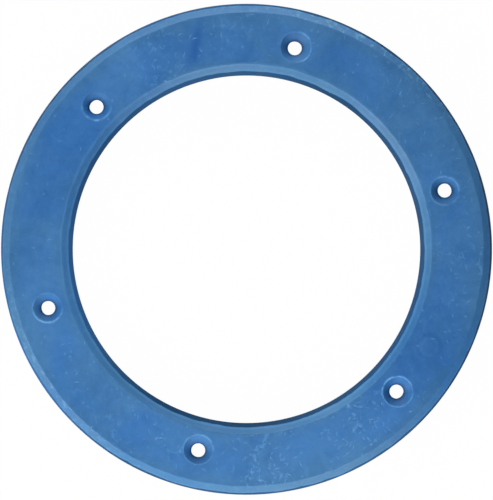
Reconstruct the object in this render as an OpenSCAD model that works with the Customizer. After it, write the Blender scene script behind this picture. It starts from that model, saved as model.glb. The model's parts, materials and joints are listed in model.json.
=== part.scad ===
// Toilet flange ring: one moulded plastic ring that is screwed to the floor around the
// drain opening. Its foot is at z = 0 and its axis is Z, with one screw hole on +X.

/* [Ring] */
// Diameter of the drain opening, across its foot
opening_d = 126; // [80:0.5:200]
// Width of the ring between the opening and the rim, across its foot
ring_w = 25.9; // [22:0.1:40]
// Height of the ring
thickness = 12.7; // [8:0.1:25]

/* [Edges] */
// Height of the straight band above the foot, on the rim and in the opening
foot_band = 3; // [1:0.1:5]
// Lean of both walls above the straight band, in degrees
draft = 9; // [0:0.5:15]
// Width and height of the bevel around both top edges
bevel = 2.5; // [0.5:0.1:3]

/* [Screw holes] */
// Number of screw holes
screw_count = 6; // [3:1:12]
// Diameter of each screw hole
screw_d = 5; // [3:0.1:6.5]
// Distance from the wall of the opening, at its foot, to the middle of each hole
screw_inset = 11.5; // [10:0.1:13]
// Diameter of each countersink at the top face
head_d = 10.6; // [8:0.1:11.5]
// Full angle of each countersink, in degrees
head_angle = 82; // [70:1:110]

/* [Hidden] */

opening_r = opening_d / 2;
rim_r = opening_r + ring_w;
screw_circle_r = opening_r + screw_inset;
shoulder_z = thickness - bevel;                       // where the walls meet the bevels
lean = (shoulder_z - foot_band) * tan(draft);         // how far each wall leans in all
head_slope = tan(head_angle / 2);                     // growth of a countersink's radius with height
head_depth = (head_d - screw_d) / 2 / head_slope;
overshoot = 1;                                        // how far a cutter passes a face
round_fn = 180;

// Half section of the ring, with x as the radius and y as the height
module section() {
    polygon([
        [opening_r, 0],
        [rim_r, 0],
        [rim_r, foot_band],
        [rim_r - lean, shoulder_z],
        [rim_r - lean - bevel, thickness],
        [opening_r + lean + bevel, thickness],
        [opening_r + lean, shoulder_z],
        [opening_r, foot_band],
    ]);
}

// Cutter for one countersunk screw hole, on the Z axis
module screw_hole() {
    translate([0, 0, -overshoot])
        cylinder(h = thickness + 2 * overshoot, d = screw_d, $fn = round_fn);
    translate([0, 0, thickness - head_depth])
        cylinder(
            h = head_depth + overshoot,
            d1 = screw_d,
            d2 = head_d + 2 * overshoot * head_slope,
            $fn = round_fn
        );
}

module flange_ring() {
    color([0.26, 0.46, 0.68])
        difference() {
            rotate_extrude($fn = round_fn) section();
            for (i = [0 : screw_count - 1])
                rotate([0, 0, i * 360 / screw_count])
                    translate([screw_circle_r, 0, 0])
                        screw_hole();
        }
}

flange_ring();
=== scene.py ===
import json
import math

import bpy
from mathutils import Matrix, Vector

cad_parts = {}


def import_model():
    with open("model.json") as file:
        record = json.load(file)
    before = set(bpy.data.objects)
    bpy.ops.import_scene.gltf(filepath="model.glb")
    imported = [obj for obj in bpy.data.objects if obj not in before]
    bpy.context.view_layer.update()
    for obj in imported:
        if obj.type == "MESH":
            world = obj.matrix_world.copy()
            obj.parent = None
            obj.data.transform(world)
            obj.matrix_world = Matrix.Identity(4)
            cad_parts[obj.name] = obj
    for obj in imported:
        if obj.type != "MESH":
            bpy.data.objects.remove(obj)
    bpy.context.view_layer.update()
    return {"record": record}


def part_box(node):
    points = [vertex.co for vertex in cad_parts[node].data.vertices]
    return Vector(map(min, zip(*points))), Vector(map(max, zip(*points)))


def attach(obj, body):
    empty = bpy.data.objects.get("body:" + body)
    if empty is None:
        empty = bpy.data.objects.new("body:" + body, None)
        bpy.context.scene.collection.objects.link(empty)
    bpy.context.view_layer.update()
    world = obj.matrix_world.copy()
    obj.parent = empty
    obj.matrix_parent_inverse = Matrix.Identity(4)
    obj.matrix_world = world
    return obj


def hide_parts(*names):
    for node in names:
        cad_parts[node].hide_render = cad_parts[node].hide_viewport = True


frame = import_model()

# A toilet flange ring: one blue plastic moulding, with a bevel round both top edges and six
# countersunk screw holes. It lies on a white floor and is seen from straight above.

MM = 0.001
FULL_TURN = 2 * math.pi

# ---------------------------------------------------------------- sizes, in metres
# From the frame
LOWEST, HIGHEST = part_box("flange_ring")
MOUNTS = {mount["name"]: mount["dims"] for mount in frame["record"]["mounts"]}
THICKNESS = HIGHEST.z
RIM_R = min(HIGHEST.x, HIGHEST.y, -LOWEST.x, -LOWEST.y)
OPENING_R = MOUNTS["drain_opening"]["r_mm"] * MM
FOOT_BAND = MOUNTS["drain_opening"]["length_mm"] * MM
SCREW_CIRCLE_R = MOUNTS["screw_holes"]["pcd_mm"] * MM / 2
SCREW_R = MOUNTS["screw_holes"]["hole_r_mm"] * MM
SCREW_COUNT = MOUNTS["screw_holes"]["count"]

# The moulding's own
DRAFT = math.radians(9)             # how far both walls lean back above the foot band
BEVEL = 2.5 * MM                    # both bevels, across and up
EDGE = 0.3 * MM                     # rounding of most edges
HEAD_R = 5.2 * MM                   # countersink at the top face
HEAD_ANGLE = math.radians(82)       # of the countersink's cone
HOLE_TAPER = 0.4 * MM               # a screw hole is this much wider, in radius, at the foot
FOOT_HOLE_R = SCREW_R + HOLE_TAPER + EDGE
BURR_HEIGHT = 0.12 * MM             # lip that the countersink raised round itself
BURR_WIDTH = 0.5 * MM
CREST_R = HEAD_R + 0.35 * BURR_WIDTH  # the burr is highest here
COLLAR_R = HEAD_R + 2 * BURR_WIDTH  # the face is flat again this far from a screw hole's axis
FACE_Z = THICKNESS - BURR_HEIGHT    # the top face, which the highest burrs stand above
SHOULDER_Z = FACE_Z - BEVEL         # the bevels start here
CONE_END_Z = FACE_Z - (HEAD_R - SCREW_R) / math.tan(HEAD_ANGLE / 2)
LEAN = (SHOULDER_Z - FOOT_BAND) * math.tan(DRAFT)
FACE_IN = OPENING_R + LEAN + BEVEL  # the top face lies between these two radii
FACE_OUT = RIM_R - LEAN - BEVEL

# Round marks left by the mould: one stands up a little from the top face, and six are sunk into
# the foot by ejector pins, midway between the screw holes
MARK_R = 3.65 * MM
MARK_HEIGHT = 0.11 * MM
MARK_TURN = math.radians(315.6)
PIN_R = 3.0 * MM
PIN_DEPTH = 0.3 * MM

# Each countersink as it was cut: how far off its hole (outwards, anticlockwise), how much wider
# in radius than usual, and where round it the burr is highest (degrees from straight outwards)
# and how high there and opposite. The painted highlight on the burr follows its height
COUNTERSINKS = [
    ((-0.15, -0.05), -0.25, 33, 0.5, 0.3),
    ((0.35, -0.30), 0.25, -76, 1.0, 0.1),
    ((0.10, -0.35), -0.25, 118, 1.0, 0.0),
    ((0.05, -0.20), -0.10, 73, 0.9, 0.2),
    ((-0.50, -0.05), 0.0, 190, 0.6, 0.2),
    ((0.15, 0.35), 0.1, 164, 1.0, 0.45),
]

# How far the painted edge highlights and the sway reach from an edge, and how far the bevels' edges and the
# top face stray from true
EDGE_HIGHLIGHT_REACH = 0.35 * MM
FACE_EDGE_HIGHLIGHT_REACH = 0.3 * MM
SWAY_REACH = 1.3 * MM
SWAY = 0.9 * MM
DIP = 0.08 * MM

# How finely it is meshed. Half the width, in cells, of the square that a screw hole or a round
# mark takes up, and how far from its middle the cells round it are bent
COLUMNS = 720                       # steps round the ring
HOLE_CELLS, HOLE_REACH = 8, 12
MARK_CELLS, MARK_REACH = 5, 9
HOLE_STEPS = 8 * HOLE_CELLS         # steps round a screw hole
ROUND_STEPS = 3                     # steps in each rounded edge
CELL = FULL_TURN * SCREW_CIRCLE_R / COLUMNS
WELD = 0.001 * MM                   # vertices this close are the same one


# ---------------------------------------------------------------- node trees
class Wire:
    """A value in a node tree. A sum written with it adds the tree's Math nodes."""

    def __init__(self, nodes, node, out=0):
        self.nodes, self.node = nodes, node
        shown = [socket for socket in node.outputs if socket.enabled]
        if shown:
            self.socket = shown[out] if isinstance(out, int) else node.outputs[out]

    def out(self, name):
        return Wire(self.nodes, self.node, name)

    def __add__(self, other):
        return self.nodes.maths("ADD", self, other)

    def __sub__(self, other):
        return self.nodes.maths("SUBTRACT", self, other)

    def __rsub__(self, other):
        return self.nodes.maths("SUBTRACT", other, self)

    def __mul__(self, other):
        return self.nodes.maths("MULTIPLY", self, other)

    def __truediv__(self, other):
        return self.nodes.maths("DIVIDE", self, other)

    def __mod__(self, other):
        return self.nodes.maths("FLOORED_MODULO", self, other)

    def __abs__(self):
        return self.nodes.maths("ABSOLUTE", self)

    def __gt__(self, other):
        return self.nodes.maths("GREATER_THAN", self, other)

    def __lt__(self, other):
        return self.nodes.maths("LESS_THAN", self, other)

    __radd__, __rmul__ = __add__, __mul__


class Nodes:
    """One node tree, as it is written. It is called g where it makes geometry, s where it shades."""

    def __init__(self, tree):
        self.tree = tree

    def add(self, kind, settings=None, values=(), out=0):
        """Adds a node: its type, its settings, then its sockets' values or wires, in order or by name."""
        node = self.tree.nodes.new(kind)
        for name, setting in (settings or {}).items():
            setattr(node, name, setting)
        shown = [socket for socket in node.inputs if socket.enabled]
        for key, value in values.items() if isinstance(values, dict) else enumerate(values):
            socket = shown[key] if isinstance(key, int) else next(s for s in shown if s.name == key)
            if isinstance(value, Wire):
                self.tree.links.new(value.socket, socket)
            else:
                socket.default_value = value
        return Wire(self, node, out)

    def maths(self, operation, *values):
        return self.add("ShaderNodeMath", {"operation": operation}, values)

    def vector_maths(self, operation, *values):
        return self.add("ShaderNodeVectorMath", {"operation": operation}, values)

    def joined(self, x, y, z=0.0):
        return self.add("ShaderNodeCombineXYZ", {}, (x, y, z))

    def split(self, vector):
        x = self.add("ShaderNodeSeparateXYZ", {}, (vector,))
        return x, x.out("Y"), x.out("Z")

    def length(self, x, y):
        return self.maths("SQRT", x * x + y * y)

    def turned(self, x, y, angle):
        """x and y, turned anticlockwise about the axis."""
        c, s = self.maths("COSINE", angle), self.maths("SINE", angle)
        return x * c - y * s, x * s + y * c

    def ease(self, value, low, high, start=0.0, end=1.0):
        """A smooth step from start to end as value goes from low to high."""
        return self.add("ShaderNodeMapRange", {"interpolation_type": "SMOOTHSTEP"},
                        (value, low, high, start, end))

    def hump(self, value, middle, width):
        """1 where value is at the middle, falling away like a bell on both sides."""
        away = (value - middle) / width
        return self.maths("EXPONENT", away * away * -1)

    def noise(self, place, scale, detail=2.0, roughness=0.5, distortion=0.0, out="Fac"):
        return self.add("ShaderNodeTexNoise", {}, {
            "Vector": place, "Scale": scale, "Detail": detail, "Roughness": roughness,
            "Distortion": distortion}, out)


# ---------------------------------------------------------------- outlines
def rounded(before, corner, after, radius):
    """The points of an arc that rounds a corner, or the corner alone where the radius is 0."""
    if radius == 0:
        return [corner]
    back, onward = (before - corner).normalized(), (after - corner).normalized()
    half = back.angle(onward) / 2
    inward, along = (back + onward).normalized(), (onward - back).normalized()
    centre = corner + inward * (radius / math.sin(half))
    sweep = math.pi / 2 - half
    turns = [sweep * (2 * step / ROUND_STEPS - 1) for step in range(ROUND_STEPS + 1)]
    return [centre + (along * math.sin(turn) - inward * math.cos(turn)) * radius for turn in turns]


def outline(corners):
    """Points along an outline. A corner is (across, up, rounding, steps in the straight after it)."""
    places = [Vector((across, up)) for across, up, _, _ in corners]
    arcs = [rounded(places[i - 1], place, places[(i + 1) % len(places)], corners[i][2])
            for i, place in enumerate(places)]
    points = []
    for i, arc in enumerate(arcs):
        steps, following = corners[i][3], arcs[(i + 1) % len(arcs)][0]
        points += arc
        points += [arc[-1].lerp(following, step / steps) for step in range(1, steps)]
    return points


def give(mesh, name, values):
    """Stores a number, or a vector, for each vertex of a mesh."""
    if isinstance(values[0], tuple):
        data = mesh.attributes.new(name, "FLOAT_VECTOR", "POINT").data
        data.foreach_set("vector", [number for value in values for number in value])
    else:
        mesh.attributes.new(name, "FLOAT", "POINT").data.foreach_set("value", values)


def outline_object(name, points, edges):
    """A helper object with one vertex for each point of an outline. Its vertices know how near
    they are to the moulding's edges, given as (place, painted edge highlight, painted face-edge highlight,
    how swaying)."""
    mesh = bpy.data.meshes.new(name)
    mesh.from_pydata([(p.x, 0, p.y) for p in points], [], [])

    def nearness(reach, which):
        return [max(edge[which] * math.exp(-((point - Vector(edge[0])).length / reach) ** 2)
                    for edge in edges) for point in points]

    give(mesh, "worn", nearness(EDGE_HIGHLIGHT_REACH, 1))
    give(mesh, "rubbed", nearness(FACE_EDGE_HIGHLIGHT_REACH, 2))
    give(mesh, "sway", nearness(SWAY_REACH, 3))
    helper = bpy.data.objects.new(name, mesh)
    bpy.context.scene.collection.objects.link(helper)
    return helper


def ring_outline():
    """Half section of the ring: out along the foot, up the rim, in over the top face and down the
    opening. Also its edges, and which of its points on the foot and the top face the screw holes
    go through."""
    corners = [
        (OPENING_R, 0, EDGE, 12),
        (SCREW_CIRCLE_R, 0, 0, 16),
        (RIM_R, 0, EDGE, 2),
        (RIM_R, FOOT_BAND, 3 * EDGE, 7),
        (RIM_R - LEAN, SHOULDER_Z, EDGE, 5),
        (FACE_OUT, FACE_Z, EDGE, 16),
        (SCREW_CIRCLE_R, FACE_Z, 0, 12),
        (FACE_IN, FACE_Z, EDGE, 5),
        (OPENING_R + LEAN, SHOULDER_Z, EDGE, 7),
        (OPENING_R, FOOT_BAND, 3 * EDGE, 2),
    ]
    points = outline(corners)
    # each edge: place, painted edge highlight, painted face-edge highlight, sway
    edges = [
        ((RIM_R - LEAN, SHOULDER_Z), 0.3, 0.0, 1.0),
        ((FACE_OUT, FACE_Z), 0.0, 0.3, 1.0),
        ((FACE_IN, FACE_Z), 0.0, 1.0, 1.0),
        ((OPENING_R + LEAN, SHOULDER_Z), 0.0, 0.0, 1.0),
        ((OPENING_R + LEAN + EDGE, SHOULDER_Z + EDGE), 1.0, 0.0, 0.0),
    ]
    middles = [i for i, point in enumerate(points) if abs(point.x - SCREW_CIRCLE_R) < WELD]
    return points, edges, middles


def hole_outline():
    """Wall of a screw hole, from outside its burr down to the foot, and its one edge."""
    corners = [
        (COLLAR_R, FACE_Z, 0, 2),
        (HEAD_R + BURR_WIDTH, FACE_Z, 0.2 * EDGE, 2),
        (CREST_R, THICKNESS, 0.2 * EDGE, 1),
        (HEAD_R, FACE_Z - 0.1 * EDGE, 0.2 * EDGE, 7),
        (SCREW_R, CONE_END_Z, EDGE, 10),
        (SCREW_R + HOLE_TAPER, 0, EDGE, 1),
        (FOOT_HOLE_R, 0, 0, 1),
    ]
    # its one edge, the burr's crest, carries the painted highlight
    return outline(corners), [((CREST_R, THICKNESS), 1.0, 0.0, 0.35)]


# ---------------------------------------------------------------- the ring
EDGE_NAMES = ("worn", "rubbed", "sway")
CUT_NAMES = ("number", "shift", "wider", "burr_side", "burr_high", "burr_opposite")


def new_tree(name, inputs):
    """An empty Geometry Nodes tree with these inputs, given as (name, kind)."""
    tree = bpy.data.node_groups.new(name, "GeometryNodeTree")
    for title, kind in [("Geometry", "Geometry"), *inputs]:
        tree.interface.new_socket(title, in_out="INPUT", socket_type="NodeSocket" + kind)
    tree.interface.new_socket("Geometry", in_out="OUTPUT", socket_type="NodeSocketGeometry")
    return Nodes(tree)


def position(g):
    return g.add("GeometryNodeInputPosition")


def attribute(g, name, kind="FLOAT"):
    return g.add("GeometryNodeInputNamedAttribute", {"data_type": kind}, {"Name": name})


def store(g, mesh, name, value):
    return g.add("GeometryNodeStoreNamedAttribute", {"data_type": "FLOAT"},
                 {"Geometry": mesh, "Name": name, "Value": value})


def at_index(g, geometry, value, index, kind="FLOAT"):
    return g.add("GeometryNodeSampleIndex", {"data_type": kind},
                 {"Geometry": geometry, "Value": value, "Index": index})


def place(g, mesh, x, y, z, selection=True):
    return g.add("GeometryNodeSetPosition", {}, {
        "Geometry": mesh, "Selection": selection, "Position": g.joined(x, y, z)})


def counted_grid(g, columns, rows):
    """A grid whose vertices know their column and row."""
    mesh = g.add("GeometryNodeMeshGrid", {}, {"Vertices X": columns, "Vertices Y": rows})
    index = g.add("GeometryNodeInputIndex")
    column = g.maths("FLOOR", (index + 0.5) / rows)
    mesh = store(g, mesh, "column", column)
    return store(g, mesh, "row", index - attribute(g, "column") * rows)


def cells_round(g, first_column, every, row):
    """For each vertex, how many columns and rows it is from the nearest of some places in the
    grid, and that place's number. The places are `every` columns apart."""
    along = attribute(g, "column") - first_column
    number = g.maths("FLOOR", (along + every / 2) / every)
    return along - number * every, attribute(g, "row") - row, number


def draw_circles(g, mesh, away, turn, shift, outward, radius, cells, step, reach, lift=0.0, slope=1):
    """Bends the grid's squares round a place on the screw circle into circles. The square `cells`
    from the middle becomes a circle of this radius, the next one is a step wider, and the one
    `reach` cells away stays as it is. `outward` is 1 where the rows run outwards and -1 where they
    run inwards. The middle is lifted, with a slope this many cells wide."""
    i, j = away
    square = g.maths("MAXIMUM", abs(i), abs(j))
    inner = g.maths("MAXIMUM", square, 1.0)
    across = g.maths("TANGENT", j * outward / inner * (math.pi / 4))
    along = g.maths("TANGENT", i / inner * (math.pi / 4))
    stretch = (reach * CELL - radius - step) / (reach - cells - 1)
    inside = square * radius / cells
    outside = (square - cells - 1) * stretch + radius + step
    size = g.maths("MINIMUM", inside, radius) + g.maths("MAXIMUM", outside - radius, 0.0)
    size = size / g.length(across, along)
    x, y, z = g.split(position(g))
    x, y = g.turned(x, y, turn * -1)
    keep = g.ease(square, cells + 1, reach)
    round_x = across * size + SCREW_CIRCLE_R + shift[0]
    round_y = along * size + shift[1]
    x, y = round_x + (x - round_x) * keep, round_y + (y - round_y) * keep
    x, y = g.turned(x, y, turn)
    z = z + g.ease(square, cells + 1, cells + 1 - slope) * lift
    return place(g, mesh, x, y, z, square < reach), square


def turned_ring(g, points, rows):
    """The ring's outline, turned about the axis, as a grid that knows its edges."""
    ring = counted_grid(g, COLUMNS + 1, rows + 1)
    row = attribute(g, "row") % rows
    for name in EDGE_NAMES:
        ring = store(g, ring, name, at_index(g, points, attribute(g, name), row))
    radius, _, height = g.split(at_index(g, points, position(g), row, "FLOAT_VECTOR"))
    angle = attribute(g, "column") * (FULL_TURN / COLUMNS)
    return place(g, ring, radius * g.maths("COSINE", angle), radius * g.maths("SINE", angle), height)


def bend_round_holes(g, ring, screws, foot_row, face_row):
    """Runs the ring's grid round the screw holes, at the top face and at the foot. Also tells
    which of its cells are inside them."""
    every = COLUMNS / SCREW_COUNT
    i, j, number = cells_round(g, 0, every, face_row)
    turn = number * (FULL_TURN / SCREW_COUNT)
    shift = attribute(g, "shift", "FLOAT_VECTOR")
    shift_x, shift_y, _ = g.split(at_index(g, screws, shift, number % SCREW_COUNT, "FLOAT_VECTOR"))
    ring, near_face = draw_circles(g, ring, (i, j), turn, (shift_x, shift_y), outward=-1, radius=COLLAR_R,
                                   cells=HOLE_CELLS, step=0.4 * MM, reach=HOLE_REACH)
    i, j, number = cells_round(g, 0, every, foot_row)
    turn = number * (FULL_TURN / SCREW_COUNT)
    ring, near_foot = draw_circles(g, ring, (i, j), turn, (0, 0), outward=1, radius=FOOT_HOLE_R,
                                   cells=HOLE_CELLS, step=0.8 * MM, reach=HOLE_REACH)
    in_hole = g.maths("MINIMUM", near_face, near_foot) < HOLE_CELLS
    return ring, in_hole


def press_marks(g, ring, foot_row, face_row):
    """Raises the round mark on the top face and sinks the ejector marks into the foot."""
    column = round(MARK_TURN / FULL_TURN * COLUMNS)
    i, j, _ = cells_round(g, column, COLUMNS, face_row)
    turn = column * (FULL_TURN / COLUMNS)
    ring, _ = draw_circles(g, ring, (i, j), turn, (0, 0), outward=-1, radius=MARK_R,
                           cells=MARK_CELLS, step=0.3 * MM, reach=MARK_REACH, lift=MARK_HEIGHT, slope=2)
    every = COLUMNS / SCREW_COUNT
    i, j, number = cells_round(g, every / 2, every, foot_row)
    turn = (number + 0.5) * (FULL_TURN / SCREW_COUNT)
    ring, _ = draw_circles(g, ring, (i, j), turn, (0, 0), outward=1, radius=PIN_R,
                           cells=MARK_CELLS, step=0.15 * MM, reach=MARK_REACH, lift=PIN_DEPTH)
    return ring


def hole_walls(g, screws, points, rows):
    """The wall of a screw hole at each of the screws, with its countersink and burr as it was cut."""
    holes = counted_grid(g, HOLE_STEPS + 1, rows)
    for name in EDGE_NAMES:
        holes = store(g, holes, name, at_index(g, points, attribute(g, name), attribute(g, "row")))
    holes = g.add("GeometryNodeInstanceOnPoints", {}, {"Points": screws, "Instance": holes})
    holes = g.add("GeometryNodeRealizeInstances", {}, {"Geometry": holes})
    radius, _, height = g.split(at_index(g, points, position(g), attribute(g, "row"), "FLOAT_VECTOR"))
    angle = attribute(g, "column") * (FULL_TURN / HOLE_STEPS)
    off_hole = g.ease(radius, SCREW_R + 0.2 * MM, HEAD_R) * (height > THICKNESS / 2)
    radius = radius + attribute(g, "wider") * off_hole * g.ease(radius, COLLAR_R, CREST_R)
    high, opposite = attribute(g, "burr_high"), attribute(g, "burr_opposite")
    leaning = g.maths("COSINE", angle - attribute(g, "burr_side")) * 0.5 + 0.5
    burr = opposite + (high - opposite) * leaning * leaning
    above = g.maths("MAXIMUM", height - FACE_Z, 0.0)
    # painted highlight on the lip, strongest where the burr is highest
    holes = store(g, holes, "worn", attribute(g, "worn") * burr)
    shift_x, shift_y, _ = g.split(attribute(g, "shift", "FLOAT_VECTOR"))
    x = radius * g.maths("COSINE", angle) + shift_x * off_hole + SCREW_CIRCLE_R
    y = radius * g.maths("SINE", angle) + shift_y * off_hole
    x, y = g.turned(x, y, attribute(g, "number") * (FULL_TURN / SCREW_COUNT))
    return place(g, holes, x, y, height - above * (1 - burr))


def stray(g, mesh):
    """Makes the bevels' edges wander and the top face dip a little."""
    x, y, z = g.split(position(g))
    here = g.vector_maths("SCALE", position(g), 1 / MM)
    away = (g.noise(here, 0.16) - 0.5) * attribute(g, "sway") * SWAY
    scale = away / g.length(x, y) + 1
    sunk = g.noise(here, 0.05) * g.ease(z, SHOULDER_Z, FACE_Z) * DIP
    return place(g, mesh, x * scale, y * scale, z - sunk)


def flange_tree(ring_rows, foot_row, face_row, hole_rows):
    """Turns the ring's outline about the axis and lets a countersunk hole into it at each vertex of
    the object's own mesh."""
    g = new_tree("flange", [("Ring outline", "Object"), ("Hole outline", "Object"),
                            ("Material", "Material")])
    inputs = g.add("NodeGroupInput")
    screws = inputs.out("Geometry")
    ring_points, hole_points = [
        g.add("GeometryNodeObjectInfo", {}, {"Object": inputs.out(title)}, "Geometry")
        for title in ("Ring outline", "Hole outline")]
    ring = turned_ring(g, ring_points, ring_rows)
    ring, in_hole = bend_round_holes(g, ring, screws, foot_row, face_row)
    ring = press_marks(g, ring, foot_row, face_row)
    ring = g.add("GeometryNodeDeleteGeometry", {"domain": "FACE"}, {"Geometry": ring, "Selection": in_hole})
    whole = g.add("GeometryNodeJoinGeometry")
    for part in (hole_walls(g, screws, hole_points, hole_rows), ring):
        g.tree.links.new(part.socket, whole.node.inputs[0])
    whole = g.add("GeometryNodeMergeByDistance", {}, {"Geometry": whole, "Distance": WELD})
    whole = g.add("GeometryNodeRealizeInstances", {}, {"Geometry": stray(g, whole)})
    whole = g.add("GeometryNodeSetShadeSmooth", {}, {"Geometry": whole})
    whole = g.add("GeometryNodeSetMaterial", {}, {"Geometry": whole, "Material": inputs.out("Material")})
    g.add("NodeGroupOutput", {}, {"Geometry": whole})
    return g.tree


def screw_places():
    """A vertex for each screw hole, which knows how its countersink was cut."""
    mesh = bpy.data.meshes.new("moulded_ring")
    turns = [FULL_TURN * i / SCREW_COUNT for i in range(SCREW_COUNT)]
    mesh.from_pydata([(SCREW_CIRCLE_R * math.cos(turn), SCREW_CIRCLE_R * math.sin(turn), 0)
                      for turn in turns], [], [])
    cuts = [(float(i), (outwards * MM, along * MM, 0.0), wider * MM, math.radians(side), high, opposite)
            for i, ((outwards, along), wider, side, high, opposite) in enumerate(COUNTERSINKS)]
    for name, values in zip(CUT_NAMES, zip(*cuts)):
        give(mesh, name, values)
    return mesh


def moulded_ring(material):
    """The whole moulding, as one closed mesh."""
    ring_points, ring_edges, (foot_row, face_row) = ring_outline()
    hole_points, hole_edges = hole_outline()
    helpers = [outline_object("ring_outline", ring_points, ring_edges),
               outline_object("hole_outline", hole_points, hole_edges)]
    piece = bpy.data.objects.new("moulded_ring", screw_places())
    bpy.context.scene.collection.objects.link(piece)
    modifier = piece.modifiers.new("flange", "NODES")
    modifier.node_group = flange_tree(len(ring_points), foot_row, face_row, len(hole_points))
    sockets = {socket.name: socket.identifier for socket in modifier.node_group.interface.items_tree
               if socket.in_out == "INPUT"}
    modifier[sockets["Ring outline"]] = helpers[0]
    modifier[sockets["Hole outline"]] = helpers[1]
    modifier[sockets["Material"]] = material
    graph = bpy.context.evaluated_depsgraph_get()
    mesh = bpy.data.meshes.new_from_object(piece.evaluated_get(graph))
    for name in ("column", "row", "sway", *CUT_NAMES):
        mesh.attributes.remove(mesh.attributes[name])
    piece.modifiers.clear()
    piece.data = mesh
    for helper in helpers:
        bpy.data.objects.remove(helper)
    return piece


# ---------------------------------------------------------------- finishes
def new_material(name, kind=Nodes):
    material = bpy.data.materials.new(name)
    material.use_nodes = True
    material.node_tree.nodes.clear()
    return material, kind(material.node_tree)


def srgb(red, green, blue):
    """A colour as it shows on a screen, 0 to 255, as the linear one that the shaders take."""
    return tuple(((c / 255 + 0.055) / 1.055) ** 2.4 for c in (red, green, blue)) + (1.0,)


def mixed(s, factor, first, second):
    return s.add("ShaderNodeMix", {"data_type": "RGBA"},
                 {"Factor": factor, "A": first, "B": second}, "Result")


# The plastic: clear and greyed pigment, dark and pale, and the white of its scuffs and of the painted edge
# highlights
DARK_BLUE, DARK_GREY_BLUE = srgb(47, 105, 170), srgb(56, 109, 160)
PALE_BLUE, PALE_GREY_BLUE = srgb(67, 126, 191), srgb(76, 130, 181)
SMEAR_BLUE = srgb(38, 94, 164)
SCUFF_AND_HIGHLIGHT_WHITE = srgb(120, 190, 248)

# Where round the ring its plastic differs: (degrees, how far it spreads, how much). In LIGHTER,
# less than 0 is darker.
CLEARER = [(-46, 14, 0.5), (133, 12, 0.4)]
LIGHTER = [(262, 24, 0.3), (-46, 13, -0.35), (133, 12, -0.1)]
SCUFFED = [(-103, 6, 0.9), (-77, 8, 0.8), (-145, 16, 0.4), (-18, 16, 0.4), (30, 10, 0.35),
           (78, 12, 0.3), (100, 6, 0.4)]
# Where round the ring the outer bevel carries more painted sheen
OUTER_BEVEL_SHEEN = [(45, 16, 0.5), (195, 14, 0.4)]


class Plastic(Nodes):
    """The plastic's node tree, which knows where on the ring each point is, in millimetres."""

    def __init__(self, tree):
        super().__init__(tree)
        self.here = self.vector_maths("SCALE", self.add("ShaderNodeTexCoord").out("Object"), 1 / MM)
        # elsewhere in the noise, for marks that don't follow those made with `here`
        self.there = self.vector_maths("ADD", self.here, (137.0, 59.0, 83.0))
        self.x, self.y, self.z = self.split(self.here)
        self.radius, self.angle = self.length(self.x, self.y), self.maths("ARCTAN2", self.y, self.x)
        up = self.split(self.add("ShaderNodeNewGeometry").out("Normal"))[2]
        slope = self.ease(up, 0.45, 0.6) * (1 - self.ease(up, 0.8, 0.93))
        self.face = self.ease(up, 0.90, 0.98)
        self.wall = 1 - self.ease(abs(up), 0.25, 0.55)
        self.inner_bevel = slope * (self.radius < FACE_IN / MM)
        self.outer_bevel = slope * (self.radius > FACE_OUT / MM)
        self.cone = slope - self.inner_bevel - self.outer_bevel

    def near(self, degrees, spread):
        """1 at an angle round the ring, falling away on both sides."""
        off = self.maths("COSINE", self.angle - math.radians(degrees)) - 1
        return self.maths("EXPONENT", off / math.radians(spread) ** 2)

    def near_all(self, places):
        """The same for several places, given as (degrees, spread, how much there)."""
        return sum(self.near(degrees, spread) * strength for degrees, spread, strength in places)

    def streak(self, degrees, middle, slant, width):
        """1 along a line across the top face, which passes this angle at radius `middle`."""
        across = self.maths("SINE", self.angle - math.radians(degrees)) * self.radius
        line = self.hump(across + (self.radius - middle) * slant, 0.0, width)
        return line * self.near(degrees, 10) * self.face


def pigment(s):
    """Clouds of dark and pale blue, greyer beside the bevels, with a dark smear, and a painted highlight
    and painted shade round the raised mould mark.
    """
    margin = (s.hump(s.radius, FACE_IN / MM, 2.0) * 0.6 + s.hump(s.radius, FACE_OUT / MM, 3.0)) * s.face
    grey = (s.noise(s.there, 0.045, 4.0, 0.65, 0.5) - 0.5) * 1.8 + margin * 0.5
    grey = s.ease(grey - s.near_all(CLEARER) + 0.5, 0.0, 1.0)
    light = (s.noise(s.here, 0.035, 5.0, 0.75, 0.5) - 0.5) * 2.4 - margin * 0.12 + 0.5
    light += (s.noise(s.there, 0.3, 4.0, 0.7) - 0.5) * 0.85 + s.near_all(LIGHTER)
    wipes = s.streak(-91.4, 78.0, 0.0, 0.7) + s.streak(-86.2, 79.0, 0.0, 0.9)
    light += wipes * s.hump(s.radius, 79.0, 5.0) * 0.4
    mark_x = SCREW_CIRCLE_R / MM * math.cos(MARK_TURN)
    mark_y = SCREW_CIRCLE_R / MM * math.sin(MARK_TURN)
    # painted highlight just inside the raised mould mark's rim, and painted shade just outside it
    off_mark = s.length(s.x - mark_x, s.y - mark_y) - MARK_R / MM
    light += (s.hump(off_mark, -0.75, 0.7) * 0.25 - s.hump(off_mark, 0.55, 0.6) * 0.2) * s.face
    dark = mixed(s, grey, DARK_BLUE, DARK_GREY_BLUE)
    pale = mixed(s, grey, PALE_BLUE, PALE_GREY_BLUE)
    fading = s.ease(s.radius, 86.0, 76.0, 0.25, 0.85) * s.ease(s.radius, 67.5, 71.5)
    smear = s.streak(86.7, 78.0, 0.42, 2.2) * fading
    return mixed(s, smear, mixed(s, light, dark, pale), SMEAR_BLUE)


def scuffs(s, thick):
    """Broken scuff lines, and two scored ones across the face."""
    line = s.hump(s.noise(s.here, 0.23, 2.0, 0.5, 0.2), 0.5, 0.04)
    broken = s.ease(s.noise(s.there, 0.42), 0.5, 0.62)
    scuff = line * broken * s.ease(thick + s.noise(s.there, 0.06, 1.0), 0.6, 1.3) * s.face
    scored = s.streak(-103.8, 76.2, 0.43, 0.8) + s.streak(-73.8, 76.0, 0.05, 0.6) * 0.8
    return scuff + scored * s.ease(s.noise(s.there, 0.6), 0.46, 0.58)


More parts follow.
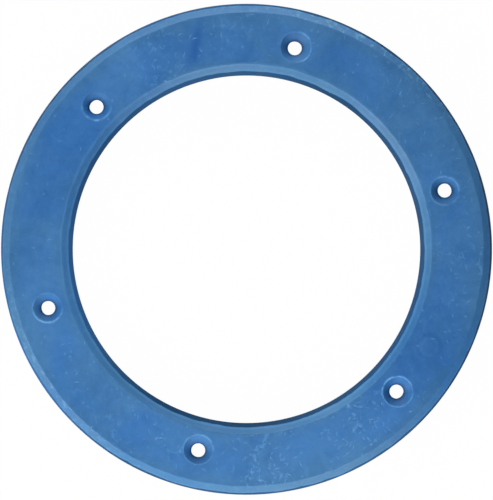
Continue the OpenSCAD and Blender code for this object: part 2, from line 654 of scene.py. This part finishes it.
def nicks(s, thick):
    """Short nicks and round specks, at most one in each cell."""
    cell = s.add("ShaderNodeTexVoronoi", {}, {"Vector": s.here, "Scale": 0.33}, "Position")
    off_x, off_y, _ = s.split(s.vector_maths("SUBTRACT", s.here, cell))
    luck = s.add("ShaderNodeTexWhiteNoise", {}, {"Vector": cell}, "Value")
    _, lie, bright = s.split(luck.out("Color"))
    across, along = s.turned(off_x, off_y, lie * FULL_TURN)
    nick = s.hump(across + along * along * 0.12, 0.0, 0.24) * s.hump(along, 0.0, 0.9)
    nick *= s.ease(luck + thick * 0.35, 0.85, 1.1)
    speck = s.hump(s.length(off_x, off_y), 0.0, 0.42) * (luck < 0.11) * 0.65
    return (nick + speck) * (bright + 0.4) * s.face


def painted_slope_light_and_shade(s, colour):
    """The colour with painted light and shade on the bevels, countersinks and walls, set by their slope and
    by where round the ring they face.
    """
    # patchy painted sheen on both bevels, strongest on the outer bevel at a few places round the ring
    patchy_sheen = s.ease(s.noise(s.there, 0.5, 3.0, 0.6), 0.48, 0.72)
    patchy_sheen *= s.outer_bevel * s.near_all(OUTER_BEVEL_SHEEN) + 0.1
    # painted shade on the outer bevel: greyer away from 10 degrees and near 268 degrees
    outer_bevel_shade = (1 - s.near(10, 45)) * 0.22 + s.near(268, 22) * 0.18
    # painted shade in the countersinks, deepest at the bottom of the cone
    cone_bottom_shade = s.ease(s.z, CONE_END_Z / MM + 1.1, CONE_END_Z / MM - 0.1)
    # painted shade on the walls, less dark near 176 degrees
    wall_shade_blue = mixed(s, s.near(176, 22), srgb(6, 69, 109), srgb(20, 120, 196))
    for amount, tint in [
        # both bevels: patchy painted sheen
        ((s.inner_bevel + s.outer_bevel) * (patchy_sheen + 0.13), srgb(120, 190, 235)),
        # the outer bevel: painted shade and painted light, by where round the ring it faces
        (s.outer_bevel * outer_bevel_shade, srgb(76, 110, 126)),
        (s.outer_bevel * s.near_all([(-8, 20, 0.3), (-47, 11, 0.3)]), srgb(44, 130, 213)),
        # the inner bevel: painted highlights and painted shade, by where round the ring it faces
        (s.inner_bevel * s.near(10, 45) * 0.2, srgb(93, 121, 121)),
        (s.inner_bevel * s.near(-100, 35) * 0.45, srgb(40, 138, 203)),
        (s.inner_bevel * s.near(170, 28) * 0.25, srgb(47, 122, 204)),
        (s.inner_bevel * s.near_all([(80, 25, 0.08), (283, 10, 0.14)]), srgb(135, 190, 225)),
        (s.inner_bevel * s.near_all([(122, 14, 0.25), (315, 14, 0.25)]), srgb(26, 99, 165)),
        # the countersinks, with painted shade that darkens towards their holes, and the walls, darkened
        # with painted shade
        (s.cone * 0.13, srgb(0, 105, 155)),
        (s.cone * cone_bottom_shade * 0.5, srgb(4, 52, 100)),
        (s.wall * (s.near_all([(-112, 20, 0.2), (45, 14, 0.28), (222, 10, 0.25)]) + 0.65), wall_shade_blue),
    ]:
        colour = mixed(s, amount, colour, tint)
    return colour


def painted_edge_highlights(s):
    """How white the edges are, as painted highlights. A bevel's low edge is lit mostly at the front
    and its high edge mostly at the back, and the countersinks' burrs are lit in patches."""
    worn, rubbed = [s.add("ShaderNodeAttribute", {"attribute_name": name}, (), "Fac")
                    for name in ("worn", "rubbed")]
    front = 0.6 - s.maths("SINE", s.angle) * 0.4
    by_holes = (s.radius > FACE_IN / MM + 1.5) * (s.radius < FACE_OUT / MM - 1.5)
    patchy_burr_highlight = s.ease(s.noise(s.here, 0.35), 0.4, 0.6) * 0.6 + 0.2
    low_edges = (front + 0.4) * 0.36
    return worn * (low_edges * (1 - by_holes) + patchy_burr_highlight * by_holes) + rubbed * (1 - front) * 0.2


def satin_blue_plastic():
    """Cloudy blue plastic with scuffs and nicks, painted highlights on its edges, and painted light and
    shade on its slopes.
    """
    material, s = new_material("satin_blue_plastic", Plastic)
    thick = s.near_all(SCUFFED)
    scuff, nick = scuffs(s, thick), nicks(s, thick)
    colour = mixed(s, (scuff + nick) * 0.24, pigment(s), SCUFF_AND_HIGHLIGHT_WHITE)
    # painted light and shade on the slopes, then the painted highlights on the edges
    colour = mixed(s, painted_edge_highlights(s), painted_slope_light_and_shade(s, colour), SCUFF_AND_HIGHLIGHT_WHITE)
    rough = s.noise(s.there, 0.4, 3.0, 0.6) * 0.16 + s.wall * 0.25 + s.cone * 0.12 + 0.34
    height = s.noise(s.here, 1.4, 3.0, 0.65) * 0.026 - scuff * 0.09 - nick * 0.12
    bump = s.add("ShaderNodeBump", {}, {"Strength": 1.0, "Distance": MM, "Height": height}, "Normal")
    shader = s.add("ShaderNodeBsdfPrincipled", {}, {
        "Base Color": colour, "Roughness": rough, "IOR": 1.5, "Specular IOR Level": 0.3, "Normal": bump})
    s.add("ShaderNodeOutputMaterial", {}, {"Surface": shader})
    return material


# ---------------------------------------------------------------- stage, lights and camera
def floor():
    """A white floor just below the foot, which keeps a trace of the ring's shadow."""
    mesh = bpy.data.meshes.new("floor")
    half = 6.0
    mesh.from_pydata([(-half, -half, 0), (half, -half, 0), (half, half, 0), (-half, half, 0)],
                     [], [(0, 1, 2, 3)])
    piece = bpy.data.objects.new("floor", mesh)
    piece.location.z = -0.1 * MM
    bpy.context.scene.collection.objects.link(piece)
    material, s = new_material("white_floor")
    seen = s.add("ShaderNodeLightPath").out("Is Camera Ray")
    matt = s.add("ShaderNodeBsdfDiffuse", {}, {
        "Color": mixed(s, seen, (0.3, 0.3, 0.3, 1), (0.9, 0.9, 0.9, 1))})
    white = s.add("ShaderNodeEmission", {}, {"Strength": 1.0})
    surface = s.add("ShaderNodeMixShader", {}, (seen * 0.985, matt, white))
    s.add("ShaderNodeOutputMaterial", {}, {"Surface": surface})
    mesh.materials.append(material)


def lamp(name, azimuth, elevation, power):
    """A soft square lamp, half a metre from the ring and facing it."""
    distance, size = 0.5, 0.3
    light = bpy.data.lights.new(name, "AREA")
    light.shape, light.size, light.energy = "SQUARE", size, power
    piece = bpy.data.objects.new(name, light)
    a, e = math.radians(azimuth), math.radians(elevation)
    back = Vector((math.cos(a) * math.cos(e), math.sin(a) * math.cos(e), math.sin(e)))
    piece.location = back * distance
    piece.rotation_euler = back.to_track_quat("Z", "Y").to_euler()
    piece.visible_camera = False
    bpy.context.scene.collection.objects.link(piece)


def world():
    """White where it is seen, and dim where it lights the ring."""
    made = bpy.data.worlds.new("room")
    made.use_nodes = True
    made.node_tree.nodes.clear()
    s = Nodes(made.node_tree)
    seen = s.add("ShaderNodeLightPath").out("Is Camera Ray")
    room = s.add("ShaderNodeBackground", {}, {"Color": (1, 1, 1, 1), "Strength": seen * 0.93 + 0.07})
    s.add("ShaderNodeOutputWorld", {}, {"Surface": room})
    bpy.context.scene.world = made


def camera():
    """A camera straight above the ring, turned a little, with the ring just above its middle."""
    distance, frame_height, roll = 1.4, 181.4 * MM, math.radians(-16.5)
    low = 0.26 * MM
    data = bpy.data.cameras.new("camera")
    data.sensor_width = 36
    data.lens = data.sensor_width * distance / frame_height
    piece = bpy.data.objects.new("camera", data)
    piece.location = (low * math.sin(roll), -low * math.cos(roll), distance)
    piece.rotation_euler = (0, 0, roll)
    bpy.context.scene.collection.objects.link(piece)
    bpy.context.scene.camera = piece


bpy.context.scene.view_settings.view_transform = "Standard"
ring = moulded_ring(satin_blue_plastic())
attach(ring, "root")
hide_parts("flange_ring")
floor()
world()
camera()
lamp("front_lamp", 270, 28, 1.7)
lamp("back_lamp", 90, 28, 1.5)
lamp("left_lamp", 203, 26, 1.7)
lamp("right_lamp", 60, 14, 0.7)
